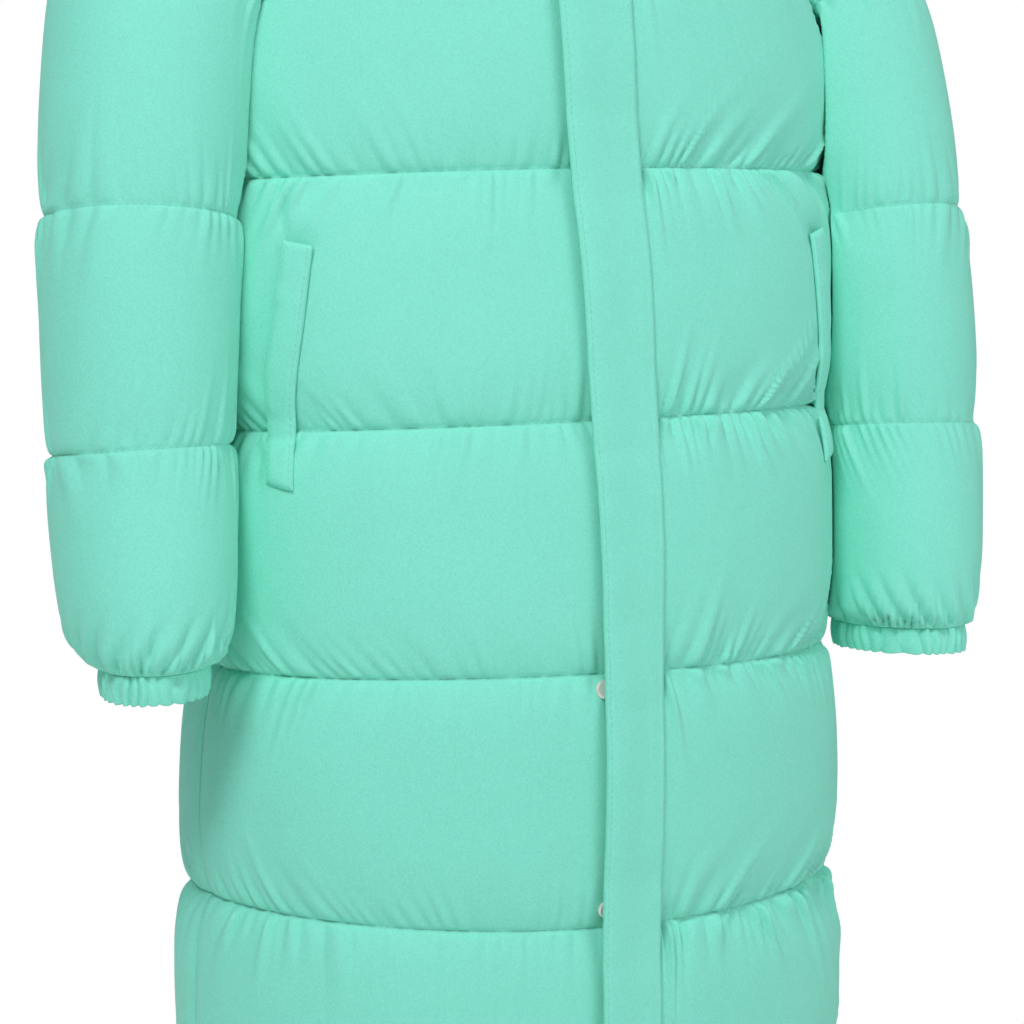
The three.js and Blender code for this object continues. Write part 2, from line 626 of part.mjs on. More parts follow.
function buildCoat() {
  const coat = new THREE.Group();
  coat.name = 'puffer_coat';
  const add = (name, geometry, material) => {
    const mesh = new THREE.Mesh(geometry, material);
    mesh.name = name;
    coat.add(mesh);
  };
  const mint = 0x88ead5;
  const outerTurns = channelTurns(0, BODY_SEAMS, CHANNEL_STEPS);
  const innerTurns = [0, 0.22, 0.45, 0.7, ...channelTurns(1, BODY_SEAMS, [0, 0.45])];
  const panel = (angles) => toManifold(panelGeometry(angles, outerTurns, innerTurns, SEAM_GAP));
  const leftHollow = sleeveHollow(LEFT_SLEEVE_SECTIONS);
  const rightHollow = toManifold(mirrored(fromManifold(sleeveHollow(RIGHT_SLEEVE_SECTIONS))));
  const frontRight = panel(FRONT_RIGHT_ANGLES).subtract(rightHollow);
  const frontLeft = panel(FRONT_LEFT_ANGLES).subtract(leftHollow);
  const back = panel(BACK_ANGLES).subtract(leftHollow).subtract(rightHollow);
  const body = filledBody();
  const sleeveRight = toManifold(mirrored(sleeveTube(RIGHT_SLEEVE_SECTIONS))).subtract(body);
  const sleeveLeft = toManifold(sleeveTube(LEFT_SLEEVE_SECTIONS)).subtract(body);
  const collarTurns = [-1, -0.92, -0.7, -0.45, -0.2, -0.06, 0];
  const collar = panelGeometry(ROUND_ANGLES, collarTurns, [-1, 0], 0);
  add('front_right', fromManifold(frontRight), clothMaterial(mint));
  add('front_left', fromManifold(frontLeft), clothMaterial(mint));
  add('back', fromManifold(back), clothMaterial(mint));
  add('sleeve_right', fromManifold(sleeveRight), clothMaterial(mint));
  add('sleeve_left', fromManifold(sleeveLeft), clothMaterial(mint));
  add('cuff_right', mirrored(cuffGeometry(RIGHT_SLEEVE_SECTIONS)), clothMaterial(mint));
  add('cuff_left', cuffGeometry(LEFT_SLEEVE_SECTIONS), clothMaterial(mint));
  add('collar', collar, clothMaterial(mint));
  add('placket_flap', flap(), clothMaterial(mint));
  add('welt_right', welt(true), clothMaterial(mint));
  add('welt_left', welt(false), clothMaterial(mint));
  SNAPS.forEach((place, k) => add(`snap_${k + 1}`, snap(place), metalMaterial()));
  return coat;
}

export default buildCoat();
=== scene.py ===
import math

import bpy
import numpy as np
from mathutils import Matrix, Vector, noise


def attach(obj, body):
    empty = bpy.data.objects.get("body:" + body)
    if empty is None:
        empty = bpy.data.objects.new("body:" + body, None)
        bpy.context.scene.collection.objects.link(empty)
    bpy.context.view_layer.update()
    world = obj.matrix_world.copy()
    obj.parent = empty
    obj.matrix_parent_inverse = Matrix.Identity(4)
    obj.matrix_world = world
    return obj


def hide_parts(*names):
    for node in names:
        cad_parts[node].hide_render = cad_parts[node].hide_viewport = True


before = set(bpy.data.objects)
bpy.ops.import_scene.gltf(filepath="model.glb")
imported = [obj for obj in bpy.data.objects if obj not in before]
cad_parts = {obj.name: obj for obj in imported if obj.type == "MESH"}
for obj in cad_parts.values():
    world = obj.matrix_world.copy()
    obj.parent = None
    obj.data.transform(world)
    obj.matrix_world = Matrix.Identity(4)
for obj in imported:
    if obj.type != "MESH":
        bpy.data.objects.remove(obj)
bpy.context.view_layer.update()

# Sizes in millimetres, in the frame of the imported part: +Z up, the wearer faces -Y, the wearer's right is -X
MM = 0.001
WALL = 3.0
BODY_PUFF = 10.0
SIDE_FULLNESS = 0.35
COLLAR_PUFF = 7.0
SLEEVE_PUFF = 5.0
ARMHOLE_FADE = 11.0
ARMHOLE_HALF_WIDTH = 61.0
ARMHOLE_TOP = (150.0, 1, -126)  # the two ends of the line that an armhole runs round, on the wearer's left
ARMHOLE_BOTTOM = (226.0, -9, -180)
SLEEVE_CLEARANCE = 1.2
SEAM_GAP = 0.3
UNDERARM_Z = -212.0
FIRST_SEAM_Z = -171
CHANNEL_HEIGHT = 158.0
YOKE_HEIGHT = 120.0
COLLAR_HEIGHT = 75.0
SLEEVE_CHANNEL_HEIGHT = 150.0
BODY_RADIUS = 148  # the mean distance of the cloth from the middle of the coat
SLEEVE_RADIUS = 58
SIDE_SEAM_ANGLE = -6.0
CENTRE_FRONT_ANGLE = -88.5
BODY_SEAMS = 7
SLEEVE_SEAMS = 4
SEAM_DIP_WIDTH = 4.0
SEAM_DIP_DEPTH = 1.7
SEAM_CALM_ANGLE = 4.0  # how far from a side seam the gathers are still small
FULLEST_EARLY = 0.86  # under 1, a channel fills out quickly under its upper seam and tapers to the lower one
CHANNEL_FLATNESS = 2.6  # over 2, the middle of a channel is flatter than a round one
CHANNEL_EDGE = 0.6  # the smaller, the more steeply the cloth turns in to a seam
UNEVEN_FILLING = 0.1
GATHER_HEIGHT = 10.0
GATHER_PITCH = 10.5
GATHER_MEAN = 0.44  # of the height of a fold, taken off so that the folds sink as much as they stand out
GATHER_REACH = 17  # how far the gathers run down from a seam
GATHER_REACH_UP = 18  # and how far up from the next one
SEAM_PINCH = 2.6  # how close to a seam the stitches still hold the cloth flat
FOLD_HEIGHT = 2.5
FOLD_PITCH = 27
FOLD_REACH = 34
WRIST_FOLD_PITCH = 18.0  # the larger folds where a sleeve is drawn in to its cuff
WRIST_FOLD_HEIGHT = 5.0

# Sections round the body, one row for each, from the collar down to the hem
BODY_COLUMNS = ("turn", "side_z", "front_z", "back_z", "tilt", "half", "front", "back")
BODY_SECTIONS = (
    (-1.00, 70, 20, 78, 0, 79, 73, 60),
    (0.00, -4, -56, 8, 0, 82, 64, 56),
    (0.25, -27, -84, -32, 0, 138, 74.5, 87.5),
    (0.50, -56, -112, -78, 0, 188, 83, 109),
    (0.75, -105, -140, -124, 0, 208, 88, 120),
    (1.00, -171, -171, -171, 3, 217, 93, 127),
    (2.00, -333, -330, -331, 6, 223, 110, 141),
    (3.00, -492, -490, -490, 5, 219.5, 134, 149),
    (4.00, -653, -650, -650, -2, 220.5, 150, 154),
    (5.00, -806, -815, -806, -6, 228, 148, 155),
    (6.00, -961, -970, -961, -4, 231, 146, 155),
    (7.00, -1117, -1121, -1117, 0, 231, 145, 154),
)

# Sections along each sleeve, with x away from the body
SLEEVE_COLUMNS = ("turn", "x", "y", "z", "lean", "nod", "across", "along", "twist")
LEFT_SLEEVE_SECTIONS = (
    (0.00, 122, 4, -112, 28, 0, 62, 62, 0),
    (0.35, 165, 5, -134, 36, 0, 70, 68, 0),
    (0.70, 203, 4, -162, 48, 2, 70, 67, 0),
    (1.00, 232, 0, -199, 62, 4, 66, 64, 0),
    (1.30, 250, -7, -243, 76, 6, 63.5, 62.5, 0),
    (2.00, 268, -26, -357, 87, 8, 59, 58.5, 0),
    (3.00, 278, -41, -505, 91, 5, 56, 55.5, 0),
    (3.55, 277, -51, -588, 90, 2, 51, 55.5, 12),
    (3.86, 273, -55, -630, 90, 0, 45.5, 54, 21),
    (4.00, 272, -57, -644, 90, 0, 36, 50, 25),
)
RIGHT_SLEEVE_SECTIONS = (
    (0.00, 122, 4, -112, 28, 0, 62, 62, 0),
    (0.35, 166, 4, -134, 36, 0, 70, 68, 0),
    (0.70, 206, 1, -162, 48, 2, 70, 67, 0),
    (1.00, 238, -5, -199, 62, 4, 66, 64, 0),
    (1.30, 257, -12, -243, 76, 6, 63.5, 62.5, 0),
    (2.00, 271.5, -26, -364, 87, 8, 59.5, 58.5, 0),
    (3.00, 277.5, -38, -507, 92, 5, 54.5, 55.5, 0),
    (3.55, 279, -50, -588, 90, 2, 51.5, 55.5, 12),
    (3.86, 278, -54, -626, 90, 0, 45, 54, 21),
    (4.00, 276, -56, -640, 90, 0, 33.5, 49, 25),
)

# The flap's free and attached edges across the front at each height
FLAP_COLUMNS = ("turn", "free", "attached")
FLAP_EDGES = (
    (-1.00, -22, 26),
    (0.00, -24, 27),
    (1.36, -24, 28),
    (2.40, -18, 32),
    (3.35, -16, 30),
    (4.10, -15, 27),
    (5.00, -15, 27),
    (7.00, -15, 28),
)

# The two long edges of the right welt, as angles round the body
WELT_COLUMNS = ("turn", "outer", "inner")
WELT_EDGES = (
    (2.25, -147.0, -140.8),
    (2.55, -150.2, -143.6),
    (2.88, -153.8, -147.0),
    (3.21, -153.4, -147.4),
)

# Soft hollows pressed into the quilting, by the welts and below a seam at the left side, one row for each: turn,
# angle, how far it reaches in turns and in degrees, depth, and the degrees that it leans in one turn
DENTS = (
    (2.27, -144.5, 0.05, 4.0, 3.5, 0),
    (2.14, -147.5, 0.11, 1.3, 3.0, 0),
    (3.10, -156.5, 0.11, 1.4, 3.2, 6),
    (2.27, -35.5, 0.05, 4.0, 3.5, 0),
    (3.10, -23.5, 0.11, 1.4, 3.2, -6),
    (5.12, -20.0, 0.12, 30.0, 6.0, 0),
)


def columns_of(names, rows):
    return {name: np.array([row[k] for row in rows], float) for k, name in enumerate(names)}


BODY = columns_of(BODY_COLUMNS, BODY_SECTIONS[1:])
COLLAR = columns_of(BODY_COLUMNS, BODY_SECTIONS[:2])
LEFT_SLEEVE = columns_of(SLEEVE_COLUMNS, LEFT_SLEEVE_SECTIONS)
RIGHT_SLEEVE = columns_of(SLEEVE_COLUMNS, RIGHT_SLEEVE_SECTIONS)
FLAP = columns_of(FLAP_COLUMNS, FLAP_EDGES)
WELT = columns_of(WELT_COLUMNS, WELT_EDGES)


def smoothstep(low, high, value):
    t = np.clip((np.asarray(value, float) - low) / (high - low), 0, 1)
    return t * t * (3 - 2 * t)


def row_at(table, turn, smooth=True):
    """The table's values at any turn between its rows."""
    turns = table["turn"]
    turn = np.asarray(turn, float)
    index = np.clip(np.searchsorted(turns, turn, side="left") - 1, 0, len(turns) - 2)
    before = np.maximum(index - 1, 0)
    after = np.minimum(index + 2, len(turns) - 1)
    span = turns[index + 1] - turns[index]
    t = np.clip((turn - turns[index]) / span, 0, 1)
    result = {}
    for name, values in table.items():
        start, end = values[index], values[index + 1]
        if not smooth:
            result[name] = start + (end - start) * t
            continue
        slope_in = (end - values[before]) / (turns[index + 1] - turns[before]) * span
        slope_out = (values[after] - start) / (turns[after] - turns[index]) * span
        result[name] = (
            (2 * t**3 - 3 * t**2 + 1) * start
            + (t**3 - 2 * t**2 + t) * slope_in
            + (3 * t**2 - 2 * t**3) * end
            + (t**3 - t**2) * slope_out
        )
    return result


def body_section(turn):
    below = row_at(BODY, np.maximum(turn, 0))
    above = row_at(COLLAR, np.minimum(turn, 0), smooth=False)
    return {name: np.where(np.asarray(turn) < 0, above[name], below[name]) for name in below}


def body_base(turn, angle):
    """The plain shape under the quilting, at angles from the wearer's left (0) to the front (-90)."""
    turn, angle = np.broadcast_arrays(np.asarray(turn, float), np.asarray(angle, float))
    row = body_section(turn)
    cos, sin = np.cos(np.radians(angle)), np.sin(np.radians(angle))
    depth = np.where(sin < 0, row["front"], row["back"])
    middle_z = np.where(sin < 0, row["front_z"], row["back_z"])
    z = row["side_z"] * cos**2 + middle_z * sin**2 + row["tilt"] * cos
    return np.stack([row["half"] * cos, depth * sin, z], -1)


def normalised(vectors):
    return vectors / np.maximum(np.linalg.norm(vectors, axis=-1, keepdims=True), 1e-9)


def body_normal(turn, angle):
    turn, angle = np.broadcast_arrays(np.asarray(turn, float), np.asarray(angle, float))
    step = 0.02
    low = np.where(turn < 0, np.maximum(-1, turn - step), np.maximum(0, turn - step))
    high = np.where(turn < 0, np.minimum(0, turn + step), np.minimum(BODY_SEAMS, turn + step))
    down = body_base(high, angle) - body_base(low, angle)
    around = body_base(turn, angle + 0.5) - body_base(turn, angle - 0.5)
    return normalised(np.cross(down, around))


def channel_fullness(fraction):
    """How far the cloth stands out, from 0 at a seam to 1, at a fraction of the way down its channel."""
    return np.maximum(0, 1 - np.abs(2 * fraction**FULLEST_EARLY - 1) ** CHANNEL_FLATNESS) ** CHANNEL_EDGE


def clear_of_armhole(points):
    """The distance of each point outside the edge of the armhole on its side."""
    side = np.abs(points) * [1, 0, 0] + points * [0, 1, 1]
    start, end = np.array(ARMHOLE_TOP), np.array(ARMHOLE_BOTTOM)
    along = end - start
    t = np.clip(((side - start) @ along) / (along @ along), 0, 1)
    return np.linalg.norm(side - start - t[..., None] * along, axis=-1) - ARMHOLE_HALF_WIDTH


def soft_noise(x, y, seed):
    """Smooth unevenness from -1 to 1 over arrays of places."""
    x, y = np.broadcast_arrays(np.asarray(x, float), np.asarray(y, float))
    flat = [noise.noise(Vector((a, b, seed))) for a, b in zip(x.ravel(), y.ravel())]
    return np.array(flat).reshape(x.shape) * 1.6


def gathers(along, fraction, height, channel, strength, ease):
    """The small folds where cloth is gathered into the channel seams, as a lift in millimetres.

    along is the distance round the piece and fraction the place down the channel. Rounded folds with sharp
    valleys between them leave each seam at a slant, each with its own height and length. ease is their lean.
    """
    lift = np.zeros_like(along)
    for side, edge in ((0, fraction), (1, 1 - fraction)):
        away = edge * height
        seed = 17.3 * channel + 29.9 * side
        lean = ease * (1 if side else 0.45) + 0.4 * soft_noise(along / 110, seed + 1.7, 3.0)
        path = along + lean * away
        phase = path / GATHER_PITCH + 0.9 * soft_noise(path / 38, seed, 1.0)
        own = np.floor(phase)
        size = np.clip(0.72 + 0.7 * soft_noise(own * 1.73, seed + 4, 5.0), 0.2, 1.1)
        usual = GATHER_REACH_UP if side else GATHER_REACH
        reach = np.clip(usual * (1 + soft_noise(own * 2.31, seed + 9, 2.0)), 6, 34)
        ridge = size * np.abs(np.sin(np.pi * phase)) * np.exp(-((away / reach) ** 1.4))
        pinch = 1 - np.exp(-away / SEAM_PINCH)
        mean = GATHER_MEAN * np.exp(-((away / usual) ** 1.4))
        lift += (1.0 if side else 1.3) * GATHER_HEIGHT * pinch * (ridge - mean)
        wide = soft_noise(path / FOLD_PITCH, seed + 2, 7.0)
        lift += FOLD_HEIGHT * wide * pinch * np.exp(-((away / FOLD_REACH) ** 2))
    return lift * strength


def body_puff(turn, angle, along=None, detail=False):
    """How far the cloth stands out from the plain shape. Detail adds uneven filling, gathers and hollows."""
    channel = np.floor(turn)
    fraction = turn - channel
    full = channel_fullness(fraction) * np.where(turn < 0, COLLAR_PUFF, BODY_PUFF)
    base = body_base(turn, angle)
    armhole = smoothstep(0, ARMHOLE_FADE, clear_of_armhole(base))
    neck = np.where(turn < 0, 1, smoothstep(-0.05, 0.3, turn))
    puff = full * (1 + SIDE_FULLNESS * np.cos(np.radians(angle)) ** 2) * armhole * neck
    if detail:
        uneven = soft_noise(angle / 24, channel * 3.7 + fraction * 1.3, 11.0)
        puff = puff * (1 + UNEVEN_FILLING * uneven)
        strength = side_strength(angle) * (0.35 + 0.65 * armhole) * np.where(turn < 0, 0.5, 1)
        height = np.where(turn < 0, COLLAR_HEIGHT, np.where(turn < 1, YOKE_HEIGHT, CHANNEL_HEIGHT))
        puff = puff + gathers(along, fraction, height, channel, strength, body_ease(angle))
        for dent_turn, dent_angle, reach_turn, reach_angle, depth, lean in DENTS:
            rise = (turn - dent_turn) / reach_turn
            aside = (angle - dent_angle - lean * (turn - dent_turn)) / reach_angle
            puff = puff - depth * np.exp(-(rise**2) - aside**2)
    return puff


def side_strength(angle):
    """Gathers are strongest towards the sides and on the wearer's left front, and end at the side seams."""
    front = angle % 360
    to_side = np.minimum(np.abs(front - 190), np.abs(front - 350))
    left_front = smoothstep(272, 282, front)
    strength = 0.27 + 0.4 * np.exp(-((to_side / 26) ** 2)) + 0.55 * left_front * smoothstep(4, 30, to_side)
    to_seam = np.minimum(np.abs(front - 180 + SIDE_SEAM_ANGLE), np.abs(front - 360 - SIDE_SEAM_ANGLE))
    return strength * (1 - np.exp(-((to_seam / SEAM_CALM_ANGLE) ** 2)))


def body_ease(angle):
    """The folds lean away from the centre front as they rise, more on the wearer's left."""
    cos = np.cos(np.radians(angle))
    return -1.2 * np.clip(cos / 0.7, 0, 1) + 0.55 * np.clip(-cos / 0.8, 0, 1)


def seam_dip(angle):
    """The shallow dip along the two side seams."""
    dip = 0
    for seam in (SIDE_SEAM_ANGLE, -180 - SIDE_SEAM_ANGLE, 180 - SIDE_SEAM_ANGLE):
        away = np.abs(angle - seam) * BODY_RADIUS * np.pi / 180
        dip = dip + SEAM_DIP_DEPTH * np.exp(-((away / SEAM_DIP_WIDTH) ** 2))
    return dip


# Meshes


def mesh_object(name, points, faces, material):
    mesh = bpy.data.meshes.new(name)
    mesh.from_pydata((np.asarray(points) * MM).tolist(), [], faces)
    mesh.validate()
    mesh.polygons.foreach_set("use_smooth", np.ones(len(mesh.polygons), bool))
    mesh.materials.append(material)
    obj = bpy.data.objects.new(name, mesh)
    bpy.context.scene.collection.objects.link(obj)
    return obj


def grid_faces(start, rows, columns, closed, flipped):
    """Quads of a grid of points, facing out where rows run down and columns from the front to the left."""
    r = np.arange(rows - 1)[:, None]
    c = np.arange(columns if closed else columns - 1)[None, :]
    a = start + r * columns + c
    b = start + r * columns + (c + 1) % columns
    quads = np.stack([a, a + columns, b + columns, b], -1).reshape(-1, 4)
    return (quads[:, ::-1] if flipped else quads).tolist()


def rim_faces(outer_line, inner_line, kept, flipped):
    """Joins a fine outer edge to a coarser inner edge whose points stand for the kept ones of the outer."""
    faces = []
    for k in range(len(kept) - 1):
        for j in range(kept[k], kept[k + 1]):
            faces.append([inner_line[k], outer_line[j], outer_line[j + 1]])
        faces.append([inner_line[k], outer_line[kept[k + 1]], inner_line[k + 1]])
    return [face[::-1] for face in faces] if flipped else faces


def kept_steps(count, step):
    return sorted(set(range(0, count, step)) | {count - 1})


def padded_wall(name, outer, inner_at, step, closed, material):
    """One closed padded wall: a fine outer grid and a coarser plain inside, joined round the edges."""
    rows, columns = outer.shape[:2]
    kept_rows = kept_steps(rows, step)
    kept_columns = list(range(0, columns, step)) if closed else kept_steps(columns, step)
    inner = inner_at[np.ix_(kept_rows, kept_columns)]
    offset = rows * columns
    points = np.concatenate([outer.reshape(-1, 3), inner.reshape(-1, 3)])
    faces = grid_faces(0, rows, columns, closed, False)
    faces += grid_faces(offset, len(kept_rows), len(kept_columns), closed, True)
    outer_id = np.arange(offset).reshape(rows, columns)
    inner_id = offset + np.arange(inner.shape[0] * inner.shape[1]).reshape(inner.shape[:2])
    wrap = (lambda line: list(line) + [line[0]]) if closed else list
    across = kept_columns + [columns] if closed else kept_columns
    faces += rim_faces(wrap(outer_id[0]), wrap(inner_id[0]), across, False)
    faces += rim_faces(wrap(outer_id[-1]), wrap(inner_id[-1]), across, True)
    if not closed:
        faces += rim_faces(list(outer_id[:, 0]), list(inner_id[:, 0]), kept_rows, True)
        faces += rim_faces(list(outer_id[:, -1]), list(inner_id[:, -1]), kept_rows, False)
    return mesh_object(name, points, faces, material)


def channel_rows(first, last, per_channel, crowd=0.1):
    """Turns down the channels, closer together by the seams, where the gathers are."""
    turns = []
    for seam in range(first, last):
        t = np.arange(per_channel) / per_channel
        turns.append(seam + t - crowd * np.sin(2 * np.pi * t))
    return np.append(np.concatenate(turns), last)


def distance_round(turn, angle):
    points = body_base(turn, angle)
    steps = np.linalg.norm(np.diff(points, axis=1), axis=-1)
    return np.concatenate([np.zeros((len(points), 1)), np.cumsum(steps, 1)], 1)


def body_panel(name, start, end, columns, turns, material):
    """A quilted panel of the body or the collar, from one angle round the coat to another."""
    angle = start + (end - start) * np.arange(columns + 1) / columns
    turn, angle = np.meshgrid(turns, angle, indexing="ij")
    along = distance_round(turn, angle) + start * 4
    base, normal = body_base(turn, angle), body_normal(turn, angle)
    out = body_puff(turn, angle, along, detail=True) - seam_dip(angle)
    outer = base + normal * out[..., None]
    return padded_wall(name, outer, base - WALL * normal, 5, False, material)


def body_side(y, z):
    """How far the side of the body stands out at a place beside it."""
    turn = np.clip(1 + (FIRST_SEAM_Z - z) / CHANNEL_HEIGHT, 1, BODY_SEAMS - 1)
    row = row_at(BODY, turn)
    puff = BODY_PUFF * (1 + SIDE_FULLNESS) * (0.45 + 0.55 * channel_fullness(turn - np.floor(turn)))
    depth = np.where(y < 0, row["front"], row["back"]) + puff
    return (row["half"] + puff) * np.sqrt(np.maximum(0, 1 - (y / depth) ** 2))


def clear_of_body(points, extra):
    """Presses the inner side of a left sleeve flat against the side of the body, below the underarm."""
    x, y, z = points[..., 0], points[..., 1], points[..., 2]
    below = 1 - smoothstep(UNDERARM_Z - 20, UNDERARM_Z + 14, z)
    side = body_side(y, z) + SLEEVE_CLEARANCE + extra
    pressed = np.where(x < side, x + (side - x) * below, x)
    return np.stack([pressed, y, z], -1)


def mirrored(grid):
    """The same grid on the wearer's right, with its columns turned about so that it still faces out."""
    return grid[:, ::-1] * [-1, 1, 1]


def sleeve_points(table, turn, angle, out):
    """Points round a left sleeve, standing out from the section at each turn."""
    row = row_at(table, turn)
    lean, nod, twist, local = (np.radians(a) for a in (row["lean"], row["nod"], row["twist"], angle))
    outward = np.stack([np.sin(lean), np.zeros_like(lean), np.cos(lean)], -1)
    x = (row["across"] + out) * np.cos(local)
    y = (row["along"] + out) * np.sin(local)
    middle = np.stack([row["x"], row["y"], row["z"]], -1)
    back = np.stack([np.zeros_like(nod), np.cos(nod), -np.sin(nod)], -1)
    return (
        middle
        + outward * (x * np.cos(twist) - y * np.sin(twist))[..., None]
        + back * (x * np.sin(twist) + y * np.cos(twist))[..., None]
    )


def sleeve(name, table, mirror, seed, material):
    """A quilted sleeve, gathered at its seams and drawn in to its cuff."""
    turns = channel_rows(0, SLEEVE_SEAMS, 40)
    columns = 270
    turn, angle = np.meshgrid(turns, 360 * np.arange(columns) / columns, indexing="ij")
    channel = np.floor(turn)
    fraction = turn - channel
    begun = smoothstep(0.55, 1.1, turn)
    ring = np.minimum(angle, 360 - angle) * SLEEVE_RADIUS * np.pi / 180
    puff = SLEEVE_PUFF * channel_fullness(fraction) * begun
    strength = 0.24 + 0.36 * np.cos(np.radians(angle)) ** 2 + 0.3 * smoothstep(3.6, 3.85, turn)
    ease = 0.4 * np.sin(np.radians(angle - 90))
    along = ring + 40 * np.sin(np.radians(angle)) + seed
    folds = gathers(along, fraction, SLEEVE_CHANNEL_HEIGHT, channel + seed, strength, ease)
    toward_cuff = smoothstep(3.62, 3.9, turn) * (1 - smoothstep(3.96, 4, turn))
    wander = 0.35 * np.sin(np.radians(2 * angle + 40 * seed))
    wrist_path = ring / WRIST_FOLD_PITCH + wander + 2.2 * (turn - 3.9)
    wrist_folds = WRIST_FOLD_HEIGHT * (np.abs(np.sin(np.pi * wrist_path)) - 0.6) * toward_cuff
    out = puff + folds * begun + wrist_folds
    outer = clear_of_body(sleeve_points(table, turn, angle, out), 0)
    inner = clear_of_body(sleeve_points(table, turn, angle, np.full_like(turn, -WALL)), WALL)
    if mirror:
        outer, inner = mirrored(outer), mirrored(inner)
    return padded_wall(name, outer, inner, 4, True, material)


def capped_tube(name, rings):
    """A closed solid from a grid of rings, to cut with."""
    rows, columns = rings.shape[:2]
    points = np.concatenate([rings.reshape(-1, 3), rings[:1].mean(1), rings[-1:].mean(1)])
    faces = grid_faces(0, rows, columns, True, False)
    first, last = rows * columns, rows * columns + 1
    for c in range(columns):
        n = (c + 1) % columns
        faces.append([first, c, n])
        faces.append([last, (rows - 1) * columns + n, (rows - 1) * columns + c])
    return mesh_object(name, points, faces, bpy.data.materials.new("cutter"))


def cut(piece, cutter):
    """Takes the cutter's volume away from the piece, for good."""
    modifier = piece.modifiers.new("cut", "BOOLEAN")
    modifier.operation = "DIFFERENCE"
    modifier.solver = "MANIFOLD"
    modifier.object = cutter
    depsgraph = bpy.context.evaluated_depsgraph_get()
    mesh = bpy.data.meshes.new_from_object(piece.evaluated_get(depsgraph))
    piece.modifiers.clear()
    material = piece.data.materials[0]
    piece.data = mesh
    mesh.materials.clear()
    mesh.materials.append(material)
    mesh.polygons.foreach_set("use_smooth", np.ones(len(mesh.polygons), bool))


def sleeve_hollow(table, mirror):
    """The space inside the top of a sleeve, which an armhole leaves open."""
    turns = np.append(channel_rows(0, 1, 12), 1.22)
    turn, angle = np.meshgrid(turns, 7.5 * np.arange(48), indexing="ij")
    rings = clear_of_body(sleeve_points(table, turn, angle, np.full_like(turn, -WALL - 0.5)), WALL)
    return capped_tube("armhole", mirrored(rings) if mirror else rings)


def filled_body():
    """The body down to below the cuffs, as one solid with a seam's gap round it."""
    turns = channel_rows(0, BODY_SEAMS - 2, 30)
    turn, angle = np.meshgrid(turns, CENTRE_FRONT_ANGLE + 1.5 * np.arange(240), indexing="ij")
    out = body_puff(turn, angle) + SEAM_GAP
    points = body_base(turn, angle) + body_normal(turn, angle) * out[..., None]
    return capped_tube("filled_body", points)


# Finishes


def linear(hex_colour):
    """The linear colour that an sRGB hex string stands for."""
    channels = [int(hex_colour[k : k + 2], 16) / 255 for k in (1, 3, 5)]
    return tuple(c / 12.92 if c <= 0.04045 else ((c + 0.055) / 1.055) ** 2.4 for c in channels) + (1.0,)


def add_node(tree, kind, settings=None, inputs=None):
    """Adds a node with its settings, and sets or links its inputs."""
    node = tree.nodes.new(kind)
    for name, value in (settings or {}).items():
        setattr(node, name, value)
    for name, value in (inputs or {}).items():
        if isinstance(value, bpy.types.NodeSocket):
            tree.links.new(value, node.inputs[name])
        else:
            node.inputs[name].default_value = value
    return node


def new_material(name):
    material = bpy.data.materials.new(name)
    material.use_nodes = True
    material.node_tree.nodes.clear()
    return material, material.node_tree


SHELL_COLOUR = "#8EF2DD"
SHELL_SHADE = "#82E2CD"
THREAD_COLOUR = "#74D2BC"
NICKEL_COLOUR = "#F7EDEA"
PAPER_COLOUR = "#F6F6F4"
CRUMPLE_SIZE = 9.0
GRAIN_SIZE = 1.3


def padded_shell_material():
    # Woven nylon taffeta over soft filling, with a matt calendered face: it scatters light evenly, with only
    # a faint broad sheen, and its plain weave shows as a fine grain. The threads are 0.1 mm, too fine to show,
    # so the grain is drawn at 1.3 mm. Larger crumples of the thin cloth are 9 mm across.
    material, tree = new_material("matt_nylon_taffeta")
    place = add_node(tree, "ShaderNodeTexCoord").outputs["Object"]
    cloud = add_node(tree, "ShaderNodeTexNoise", None, {"Vector": place, "Scale": 14.0, "Detail": 3.0})
    grain = add_node(
        tree,
        "ShaderNodeTexNoise",
        None,
        {"Vector": place, "Scale": 1000 / GRAIN_SIZE, "Detail": 2.0, "Roughness": 0.6},
    )
    crumple = add_node(
        tree,
        "ShaderNodeTexNoise",
        None,
        {
            "Vector": place,
            "Scale": 1000 / CRUMPLE_SIZE / 4,
            "Detail": 4.0,
            "Roughness": 0.5,
            "Distortion": 0.4,
        },
    )
    speckle = add_node(
        tree, "ShaderNodeMath", {"operation": "MULTIPLY_ADD"}, {0: grain.outputs["Fac"], 1: 1.6, 2: -0.5}
    )
    blend = add_node(
        tree,
        "ShaderNodeMath",
        {"operation": "MULTIPLY_ADD"},
        {0: cloud.outputs["Fac"], 1: 0.3, 2: speckle.outputs["Value"]},
    )
    mixed = add_node(
        tree,
        "ShaderNodeMix",
        {"data_type": "RGBA"},
        {"Factor": blend.outputs["Value"], "A": linear(SHELL_SHADE), "B": linear(SHELL_COLOUR)},
    )
    fine = add_node(
        tree,
        "ShaderNodeBump",
        None,
        {"Height": grain.outputs["Fac"], "Strength": 0.5, "Distance": 0.0004},
    )
    bump = add_node(
        tree,
        "ShaderNodeBump",
        None,
        {
            "Height": crumple.outputs["Fac"],
            "Strength": 0.35,
            "Distance": 0.0012,
            "Normal": fine.outputs["Normal"],
        },
    )
    shader = add_node(
        tree,
        "ShaderNodeBsdfPrincipled",
        None,
        {
            "Base Color": mixed.outputs["Result"],
            "Roughness": 0.72,
            "IOR": 1.45,
            "Specular IOR Level": 0.25,
            "Sheen Weight": 0.12,
            "Sheen Roughness": 0.5,
            "Normal": bump.outputs["Normal"],
        },
    )
    add_node(tree, "ShaderNodeOutputMaterial", None, {"Surface": shader.outputs["BSDF"]})
    return material


